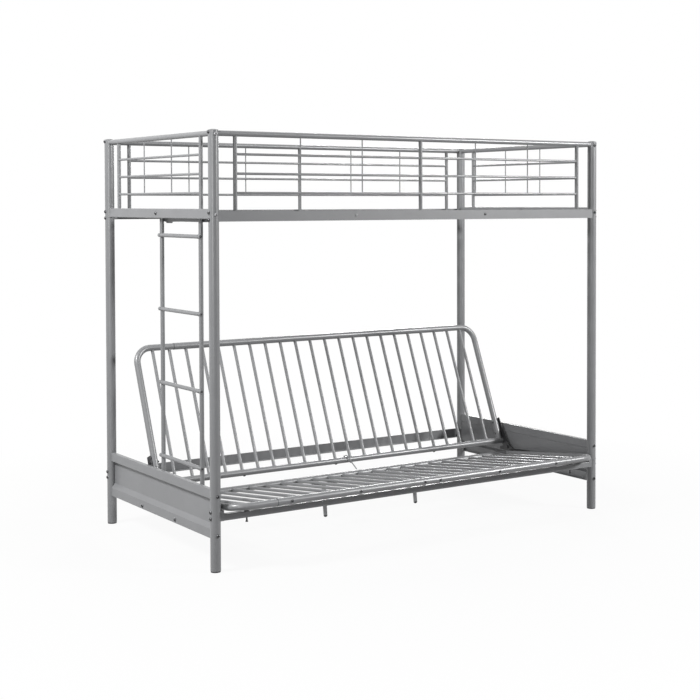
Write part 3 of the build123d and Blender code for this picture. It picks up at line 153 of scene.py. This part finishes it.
# Materials
class Nodes:
    """Short names for building a node material."""

    def __init__(self, name):
        self.material = bpy.data.materials.new(name)
        self.material.use_nodes = True
        self.tree = self.material.node_tree
        self.tree.nodes.clear()
        self.out = self.add("ShaderNodeOutputMaterial")
        self.shader = self.add("ShaderNodeBsdfPrincipled")
        self.link(self.shader.outputs["BSDF"], self.out.inputs["Surface"])

    def add(self, kind, **settings):
        node = self.tree.nodes.new(kind)
        for key, value in settings.items():
            setattr(node, key, value)
        return node

    def link(self, source, target):
        self.tree.links.new(source, target)

    def put(self, node, **inputs):
        for key, value in inputs.items():
            node.inputs[key.replace("_", " ")].default_value = value
        return node

    def place(self):
        return self.add("ShaderNodeTexCoord").outputs["Object"]

    def noise(self, scale, detail, roughness):
        node = self.add("ShaderNodeTexNoise")
        self.put(node, Scale=scale, Detail=detail, Roughness=roughness)
        self.link(self.place(), node.inputs["Vector"])
        return node.outputs["Fac"]

    def ramp(self, source, low, high, start, end):
        node = self.add("ShaderNodeMapRange")
        self.put(node, From_Min=low, From_Max=high, To_Min=start, To_Max=end)
        self.link(source, node.inputs["Value"])
        return node.outputs["Result"]

    def mix_colour(self, factor, first, second):
        node = self.add("ShaderNodeMix", data_type="RGBA")
        for name, colour in (("A", first), ("B", second)):
            if isinstance(colour, tuple):
                node.inputs[name].default_value = (*colour, 1)
            else:
                self.link(colour, node.inputs[name])
        self.link(factor, node.inputs["Factor"])
        return node.outputs["Result"]

    def bump(self, height, strength, distance):
        node = self.put(self.add("ShaderNodeBump"), Strength=strength, Distance=distance)
        self.link(height, node.inputs["Height"])
        self.link(node.outputs["Normal"], self.shader.inputs["Normal"])


def powder_coat(name, colour, metallic, roughness, speckle=0.05, texture=0.15):
    """Powder coat on steel: fine orange peel, pale flake and slow changes of tone and gloss."""
    nodes = Nodes(name)
    dark = tuple(channel * (1 - speckle) for channel in colour)
    pale = tuple(min(1.0, channel * (1 + speckle)) for channel in colour)
    rubbed = tuple(min(1.0, channel * RUB_GAIN + RUB_LIFT) for channel in colour)
    slow = nodes.ramp(nodes.noise(*TONE_NOISE), *NOISE_RANGE, 0.0, 1.0)
    tone = nodes.mix_colour(slow, dark, pale)
    flake = nodes.ramp(nodes.noise(*FLAKE_NOISE), *FLAKE_RANGE, 0.0, FLAKE_SHARE)
    nodes.link(nodes.mix_colour(flake, tone, rubbed), nodes.shader.inputs["Base Color"])
    low, high = roughness - SMOOTHER, roughness + ROUGHER
    gloss = nodes.ramp(nodes.noise(*GLOSS_NOISE), *NOISE_RANGE, low, high)
    nodes.link(gloss, nodes.shader.inputs["Roughness"])
    nodes.put(nodes.shader, Metallic=metallic, Specular_IOR_Level=COAT_SPECULAR)
    nodes.bump(nodes.noise(*PEEL_NOISE), texture, PEEL_DEPTH)
    return nodes.material


def moulded_plastic(name, colour, roughness):
    """Moulded plastic with a fine grain."""
    nodes = Nodes(name)
    pale = tuple(channel * MOULD_GAIN for channel in colour)
    factor = nodes.ramp(nodes.noise(*MOULD_TONE_NOISE), *NOISE_RANGE, 0.0, 1.0)
    nodes.link(nodes.mix_colour(factor, colour, pale), nodes.shader.inputs["Base Color"])
    low, high = roughness - MOULD_GLOSS, roughness + MOULD_GLOSS
    gloss = nodes.ramp(nodes.noise(*MOULD_GLOSS_NOISE), *NOISE_RANGE, low, high)
    nodes.link(gloss, nodes.shader.inputs["Roughness"])
    nodes.bump(nodes.noise(*GRAIN_NOISE), GRAIN_STRENGTH, GRAIN_DEPTH)
    return nodes.material


SILVER_TONE = (0.105, 0.1065, 0.1095)
WELD_TONE = tuple(channel * WELD_SHARE for channel in SILVER_TONE)
SILVER = powder_coat("silver_powder_coat", SILVER_TONE, metallic=0.0, roughness=0.32)
WELD = powder_coat(
    "silver_weld_bead", WELD_TONE, metallic=0.0, roughness=0.45, speckle=0.1, texture=0.4,
)
BLACK = powder_coat(
    "black_powder_coat", (0.012, 0.012, 0.013), metallic=0.0, roughness=0.42, speckle=0.2,
)
SCREW = powder_coat(
    "black_zinc_screw", (0.05, 0.05, 0.052), metallic=0.7, roughness=0.26, speckle=0.15,
    texture=0.05,
)
ZINC = powder_coat(
    "pale_zinc_screw", (0.16, 0.16, 0.165), metallic=0.2, roughness=0.36, speckle=0.1,
    texture=0.05,
)
PLASTIC = moulded_plastic("black_plastic", (0.01, 0.01, 0.011), roughness=0.55)
NYLON = moulded_plastic("dark_nylon", (0.035, 0.035, 0.037), roughness=0.45)
SLOT_MATERIALS = {
    "silver_steel": SILVER, "black_steel": BLACK, "black_plastic": PLASTIC, "nylon": NYLON,
}

for entry in frame["record"]["subparts"]:
    cad_node = frame["nodes"][entry["node"]]
    cad_node.data.materials.clear()
    cad_node.data.materials.append(SLOT_MATERIALS[entry["material_slot"]])


# Detail pieces
def turned(mesh, base, axis, rings, sides=TURNED_SIDES, closed=False):
    """Adds a body of revolution, from rings of (radius, height, hexagon share)."""
    turn = Vector(axis).normalized().to_track_quat("Z", "Y").to_matrix()
    loops = []
    for radius, height, hexagon in rings:
        loop = []
        for side in range(sides):
            angle = 2 * math.pi * side / sides
            corner = (angle + math.pi / 6) % (math.pi / 3) - math.pi / 6
            reach = radius * (1 - hexagon + hexagon * math.cos(math.pi / 6) / math.cos(corner))
            point = turn @ Vector((reach * math.cos(angle), reach * math.sin(angle), height))
            loop.append(mesh.verts.new(Vector(base) + point))
        loops.append(loop)
    for lower, upper in zip(loops, loops[1:]):
        for side in range(sides):
            following = (side + 1) % sides
            mesh.faces.new((lower[side], lower[following], upper[following], upper[side]))
    if closed:
        mesh.faces.new(list(reversed(loops[0])))
        mesh.faces.new(loops[-1])


def button_screw(mesh, seat, direction, length, size):
    """A button-head screw with a hex socket; direction runs down its shank."""
    shank, head, height = size
    radius = head / 2
    rings = [(shank / 2, -length, 0), (shank / 2, 0, 0)]
    rings += [(radius * across, height * up, hexagon) for across, up, hexagon in BUTTON_HEAD]
    turned(mesh, seat, Vector(direction) * -1, rings, closed=True)


def finish_piece(name, mesh, body, material, nodes=()):
    """Makes an object of a mesh and lets it ride on a body, in place of any CAD nodes given."""
    bmesh.ops.recalc_face_normals(mesh, faces=mesh.faces)
    data = bpy.data.meshes.new(name)
    mesh.to_mesh(data)
    mesh.free()
    data.materials.append(material)
    data.set_sharp_from_angle(angle=SHARP_ANGLE)
    for polygon in data.polygons:
        polygon.use_smooth = True
    piece = bpy.data.objects.new(name, data)
    bpy.context.collection.objects.link(piece)
    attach(piece, body)
    if nodes:
        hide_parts(*nodes)


def frame_screws():
    """Every screw of the fixed frame, black but for three pale ones high on the front."""
    mesh, pale = bmesh.new(), bmesh.new()
    for x_sign in ENDS:
        for y, y_sign in ((FRONT_Y, -1), (REAR_Y, 1)):
            x = x_sign * POST_X
            for z in POST_SCREWS_ALONG_X:
                seat = (x + x_sign * (POST_RADIUS + FIT_GAP), y, z)
                button_screw(mesh, seat, (-x_sign, 0, 0), POST_SHANK, LARGE_SCREW)
            for z in POST_SCREWS_ALONG_Y:
                seat = (x, y + y_sign * (POST_RADIUS + FIT_GAP), z)
                target = pale if x_sign < 0 and y_sign < 0 and z > 1 else mesh
                button_screw(target, seat, (0, -y_sign, 0), POST_SHANK, LARGE_SCREW)
        seat = (x_sign * END_FACE, MIDDLE_Y, END_RAIL_SCREW_Z)
        button_screw(mesh, seat, (-x_sign, 0, 0), END_RAIL_SHANK, LARGE_SCREW)
        for offset in PANEL_SCREWS:
            seat = (x_sign * END_FACE, FRONT_Y + offset, PANEL_SCREW_Z)
            button_screw(mesh, seat, (-x_sign, 0, 0), PANEL_SHANK, LARGE_SCREW)
    for x in (-CROSS_BAR_X, CROSS_BAR_X):
        for y, out in ((FRONT_Y, -1), (REAR_Y, 1)):
            seat = (x, y + out * RAIL_FACE, CROSS_BAR_SCREW_Z)
            target = pale if x < 0 and out < 0 else mesh
            button_screw(target, seat, (0, -out, 0), SHORT_SHANK, SMALL_SCREW)
    for y in STILE_Y:
        seat = (LADDER_X + STILE, y, STILE_SCREW_Z)
        button_screw(mesh, seat, (-1, 0, 0), STILE_SHANK, SMALL_SCREW)
    for z in RUNG_Z:
        seat = (RUNG_X, STILE_Y[0] - STILE_FRONT, z)
        button_screw(mesh, seat, (0, 1, 0), SHORT_SHANK, RUNG_SCREW)
    for x_sign in ENDS:
        seat = Vector((x_sign * BUMPER_X, BUMPER_Y, BUMPER_SCREW_Z))
        button_screw(mesh, seat, (0, 0, -1), BUMPER_SHANK, BUMPER_SCREW)
        low = seat + Vector((0, 0, -BUMPER_TIP))
        turned(mesh, low, (0, 0, 1), BUMPER_NUT)
        for step in range(THREAD_TURNS):
            ridge = low + Vector((0, 0, THREAD_START + THREAD_PITCH * step))
            turned(mesh, ridge, (0, 0, 1), THREAD_RIDGE)
    finish_piece("frame_screws", mesh, "bunk", SCREW, ["frame_bolts"])
    finish_piece("pale_screws", pale, "bunk", ZINC)


def seat_screws():
    """The screws in the seat's front tube and in its side brackets."""
    mesh = bmesh.new()
    for x in SEAT_SCREWS:
        seat = seat_point(x, 0) - Vector((0, MIDDLE_TUBE, 0))
        button_screw(mesh, seat, (0, 1, 0), SEAT_SHANK, SMALL_SCREW)
    for x_sign in ENDS:
        for along in SEAT_BRACKET_SCREWS:
            seat = seat_point(x_sign * SEAT_BRACKET_FACE, SEAT_DEPTH + along)
            button_screw(mesh, seat, (-x_sign, 0, 0), SEAT_BRACKET_SHANK, FLAT_SCREW)
    finish_piece("seat_screws", mesh, "seat", SCREW, ["seat_bolts"])


def back_screws():
    """The screws, washers and nuts of the back."""
    mesh = bmesh.new()
    for x in BACK_SCREWS:
        seat = back_point(x, BACK_START - FRAME_TUBE, BACK_UP)
        direction = back_point(x, BACK_START, BACK_UP) - seat
        button_screw(mesh, seat, direction.normalized(), BACK_SHANK, SMALL_SCREW)
    for x_sign in ENDS:
        for along in BACK_BRACKET_SCREWS:
            seat = back_point(x_sign * BACK_BRACKET_FACE, along, BACK_UP)
            button_screw(mesh, seat, (-x_sign, 0, 0), BACK_BRACKET_SHANK, FLAT_SCREW)
            inner = back_point(x_sign * WASHER_FACE, along, BACK_UP)
            turned(mesh, inner, (x_sign, 0, 0), WASHER)
            tip = back_point(x_sign * (FRAME_REACH - FRAME_TUBE - FIT_GAP), along, BACK_UP)
            turned(mesh, tip, (-x_sign, 0, 0), CAP_NUT, closed=True)
    finish_piece("back_screws", mesh, "back", SCREW, ["back_bolts"])


def seam_shadow_lines(name, body, place, along, up):
    """Black rings on a long tube, where it sleeves over the two bent end tubes: painted shadow
    of the step at each joint.
    """
    mesh = bmesh.new()
    for x_sign in ENDS:
        x = x_sign * (MIDDLE_REACH + SEAM_OFFSET)
        turned(mesh, place(x, along, up), (1, 0, 0), SEAM, SEAM_SIDES)
    finish_piece(name, mesh, body, BLACK)


def bead(mesh, centre, small_axis, big_axis, small, big, size):
    """A rippled weld bead where a small tube meets a large one; big of 0 is a flat face."""
    small_axis, big_axis = Vector(small_axis).normalized(), Vector(big_axis).normalized()
    across = small_axis.cross(big_axis).normalized()
    path, loops = [], []
    for step in range(BEAD_STEPS):
        angle = 2 * math.pi * step / BEAD_STEPS
        side = small * math.sin(angle)
        rise = math.sqrt(max(0.0, big * big - side * side)) if big else 0.0
        middle = Vector(centre) + small_axis * rise
        path.append(middle + big_axis * small * math.cos(angle) + across * side)
    for step, point in enumerate(path):
        ahead = (path[(step + 1) % BEAD_STEPS] - path[step - 1]).normalized()
        spoke = point - Vector(centre)
        out = (spoke - small_axis * spoke.dot(small_axis)).normalized()
        level = ahead.cross(out).normalized()
        swell = size * (1 + RIPPLE * math.sin(step * RIPPLE_TURN) + UNEVENNESS * random.random())
        loop = []
        for side in range(BEAD_SIDES):
            angle = 2 * math.pi * side / BEAD_SIDES
            around = out * math.cos(angle) + level * math.sin(angle)
            loop.append(mesh.verts.new(point + around * swell))
        loops.append(loop)
    for near, far in zip(loops, [*loops[1:], loops[0]]):
        for side in range(BEAD_SIDES):
            turn = (side + 1) % BEAD_SIDES
            mesh.faces.new((near[side], far[side], far[turn], near[turn]))


def futon_welds(name, body, place, first, last, up):
    """Beads at both ends of each slat, and at the feet of the side tubes."""
    mesh = bmesh.new()
    run = (place(0, last, up) - place(0, first, up)).normalized()
    for x in SLATS:
        radius = MIDDLE_TUBE if abs(x) < MIDDLE_REACH else FRAME_TUBE
        bead(mesh, place(x, first, up), run, (1, 0, 0), SLAT, radius, SLAT_BEAD)
        bead(mesh, place(x, last, up), run * -1, (1, 0, 0), SLAT, FRAME_TUBE, SLAT_BEAD)
    for x_sign in ENDS:
        corner = place(x_sign * FRAME_REACH, last, up)
        bead(mesh, corner, run * -1, (1, 0, 0), FRAME_TUBE, FRAME_TUBE, TUBE_BEAD)
    finish_piece(name, mesh, body, WELD)


def guard_welds():
    """Beads on the guards all round the upper bunk, and where the rungs meet the stiles."""
    mesh = bmesh.new()
    down, up = (0, 0, -1), (0, 0, 1)
    for y in (FRONT_Y, REAR_Y):
        for x in SIDE_UPRIGHTS:
            bead(mesh, (x, y, GUARD_TOP_Z), down, (1, 0, 0), UPRIGHT, TOP_RAIL, UPRIGHT_BEAD)
            bead(mesh, (x, y, SIDE_RAIL_TOP), up, (1, 0, 0), UPRIGHT, 0, UPRIGHT_BEAD)
        for z in GUARD_BAR_Z:
            for near, far in zip(SIDE_UPRIGHTS, SIDE_UPRIGHTS[1:]):
                for x, inward in ((near, 1), (far, -1)):
                    bead(mesh, (x, y, z), (inward, 0, 0), up, GUARD_BAR, UPRIGHT, BAR_BEAD)
    for x_sign in ENDS:
        x = x_sign * POST_X
        for reach in END_UPRIGHTS:
            y = MIDDLE_Y + reach
            bead(mesh, (x, y, GUARD_TOP_Z), down, (0, 1, 0), UPRIGHT, TOP_RAIL, UPRIGHT_BEAD)
            bead(mesh, (x, y, END_RAIL_TOP), up, (0, 1, 0), UPRIGHT, 0, UPRIGHT_BEAD)
        for z in GUARD_BAR_Z:
            for reach, inward in zip(END_UPRIGHTS, (1, -1)):
                seat = (x, MIDDLE_Y + reach, z)
                bead(mesh, seat, (0, inward, 0), up, GUARD_BAR, UPRIGHT, BAR_BEAD)
    for z in RUNG_Z:
        for y, inward in zip(STILE_Y, (1, -1)):
            bead(mesh, (RUNG_X, y, z), (0, inward, 0), up, RUNG, STILE_FACE, RUNG_BEAD)
    finish_piece("guard_welds", mesh, "bunk", WELD)


frame_screws()
seat_screws()
back_screws()
futon_welds("seat_welds", "seat", seat_point, 0.0, SEAT_DEPTH, 0.0)
futon_welds("back_welds", "back", back_point, BACK_START + BACK_DEPTH, BACK_START, BACK_UP)
guard_welds()
# Painted shadow: black rings at the sleeve joints of the seat and back tubes
seam_shadow_lines("seat_seam_shadows", "seat", seat_point, 0.0, 0.0)
seam_shadow_lines("back_seam_shadows", "back", back_point, BACK_START + BACK_DEPTH, BACK_UP)


# Camera and light
PICTURE_SIZE, FOCAL_LENGTH = 700.0, 1392.444
PICTURE_CENTRE_X, PICTURE_CENTRE_Y = 412.893, 245.516
YAW, PITCH, ROLL = 0.6099013, 0.0306333, 0.0016523
CAMERA_PLACE = (-2.42868 - POST_X, -4.80701 + FRONT_Y, 1.42193)
SENSOR_WIDTH, CLIP_END = 36.0, 60.0

# Name, place, target, size in metres, power in watts
LAMPS = (
    ("key", (-4.8, 0.0, 4.6), (0, 0, 0.8), 1.2, 800),
    ("front", (4.0, -4.6, 3.0), (0, 0, 0.8), 0.9, 680),
    ("fill", (-6.8, -5.4, 1.8), (0.5, 0, 0.6), 2.0, 250),
    ("back", (4.0, 5.5, 3.0), (0, 0, 0.8), 1.6, 280),
)
SKY_RAMP = (("From Min", -0.5), ("From Max", 0.9), ("To Min", 0.0), ("To Max", 0.3))
FLOOR_REACH, FLOOR_TONE, FLOOR_ROUGHNESS = 30.0, (0.25, 0.25, 0.25, 1), 0.9
FADE_START, FADE_END, LEAST_GLOW = 1.0, 2.6, 0.93


def photo_camera():
    """The camera of the photograph, from a fit to the frame's corners."""
    data = bpy.data.cameras.new("camera")
    camera = bpy.data.objects.new("camera", data)
    bpy.context.collection.objects.link(camera)
    data.sensor_width = SENSOR_WIDTH
    data.lens = FOCAL_LENGTH / PICTURE_SIZE * data.sensor_width
    data.shift_x = (PICTURE_SIZE / 2 - PICTURE_CENTRE_X) / PICTURE_SIZE
    data.shift_y = (PICTURE_CENTRE_Y - PICTURE_SIZE / 2) / PICTURE_SIZE
    data.clip_end = CLIP_END
    level = math.cos(PITCH)
    forward = Vector((math.sin(YAW) * level, math.cos(YAW) * level, -math.sin(PITCH)))
    right = Vector((math.cos(YAW), -math.sin(YAW), 0))
    up = right.cross(forward)
    turn = Matrix.Rotation(ROLL, 3, forward)
    right, up = turn @ right, turn @ up
    basis = Matrix((right, up, -forward)).transposed().to_4x4()
    camera.matrix_world = Matrix.Translation(Vector(CAMERA_PLACE)) @ basis
    bpy.context.scene.camera = camera


def area_light(name, place, target, size, power):
    """A soft square lamp."""
    data = bpy.data.lights.new(name, "AREA")
    data.shape, data.size, data.energy = "SQUARE", size, power
    lamp = bpy.data.objects.new(name, data)
    bpy.context.collection.objects.link(lamp)
    lamp.location = place
    lamp.rotation_euler = (Vector(target) - Vector(place)).to_track_quat("-Z", "Y").to_euler()


def seen_rays(tree):
    """1 for camera, glossy and transmission rays, which see the white backdrop."""
    path = tree.nodes.new("ShaderNodeLightPath")
    level = path.outputs["Is Camera Ray"]
    for name in ("Is Glossy Ray", "Is Transmission Ray"):
        highest = tree.nodes.new("ShaderNodeMath")
        highest.operation = "MAXIMUM"
        tree.links.new(level, highest.inputs[0])
        tree.links.new(path.outputs[name], highest.inputs[1])
        level = highest.outputs["Value"]
    return level


def world_light():
    """A white surround for what is seen, and a soft graded one for light."""
    world = bpy.data.worlds.new("studio")
    bpy.context.scene.world = world
    world.use_nodes = True
    tree = world.node_tree
    tree.nodes.clear()
    out = tree.nodes.new("ShaderNodeOutputWorld")
    soft = tree.nodes.new("ShaderNodeBackground")
    white = tree.nodes.new("ShaderNodeBackground")
    coord = tree.nodes.new("ShaderNodeTexCoord")
    split = tree.nodes.new("ShaderNodeSeparateXYZ")
    ramp = tree.nodes.new("ShaderNodeMapRange")
    mix = tree.nodes.new("ShaderNodeMixShader")
    tree.links.new(coord.outputs["Generated"], split.inputs["Vector"])
    tree.links.new(split.outputs["Z"], ramp.inputs["Value"])
    for name, value in SKY_RAMP:
        ramp.inputs[name].default_value = value
    tree.links.new(ramp.outputs["Result"], soft.inputs["Strength"])
    white.inputs["Color"].default_value = (1, 1, 1, 1)
    tree.links.new(seen_rays(tree), mix.inputs["Fac"])
    tree.links.new(soft.outputs["Background"], mix.inputs[1])
    tree.links.new(white.outputs["Background"], mix.inputs[2])
    tree.links.new(mix.outputs["Shader"], out.inputs["Surface"])


def studio_floor():
    """A pale floor that keeps the object's shadow and turns white away from it."""
    mesh = bpy.data.meshes.new("floor")
    quarters = ((-1, -1), (1, -1), (1, 1), (-1, 1))
    corners = [(x * FLOOR_REACH, y * FLOOR_REACH, 0) for x, y in quarters]
    mesh.from_pydata(corners, [], [(0, 1, 2, 3)])
    floor = bpy.data.objects.new("floor", mesh)
    bpy.context.collection.objects.link(floor)
    nodes = Nodes("floor_paper")
    nodes.put(nodes.shader, Base_Color=FLOOR_TONE, Roughness=FLOOR_ROUGHNESS)
    glow = nodes.put(nodes.add("ShaderNodeEmission"), Color=(1, 1, 1, 1), Strength=1.0)
    mix = nodes.add("ShaderNodeMixShader")
    distance = nodes.add("ShaderNodeVectorMath", operation="LENGTH")
    nodes.link(nodes.place(), distance.inputs[0])
    fade = nodes.ramp(distance.outputs["Value"], FADE_START, FADE_END, LEAST_GLOW, 1.0)
    amount = nodes.add("ShaderNodeMath", operation="MULTIPLY")
    nodes.link(fade, amount.inputs[0])
    nodes.link(seen_rays(nodes.tree), amount.inputs[1])
    nodes.link(amount.outputs["Value"], mix.inputs["Fac"])
    nodes.link(nodes.shader.outputs["BSDF"], mix.inputs[1])
    nodes.link(glow.outputs["Emission"], mix.inputs[2])
    nodes.link(mix.outputs["Shader"], nodes.out.inputs["Surface"])
    mesh.materials.append(nodes.material)


photo_camera()
world_light()
studio_floor()
for lamp_spec in LAMPS:
    area_light(*lamp_spec)
bpy.context.scene.view_settings.view_transform = "Standard"
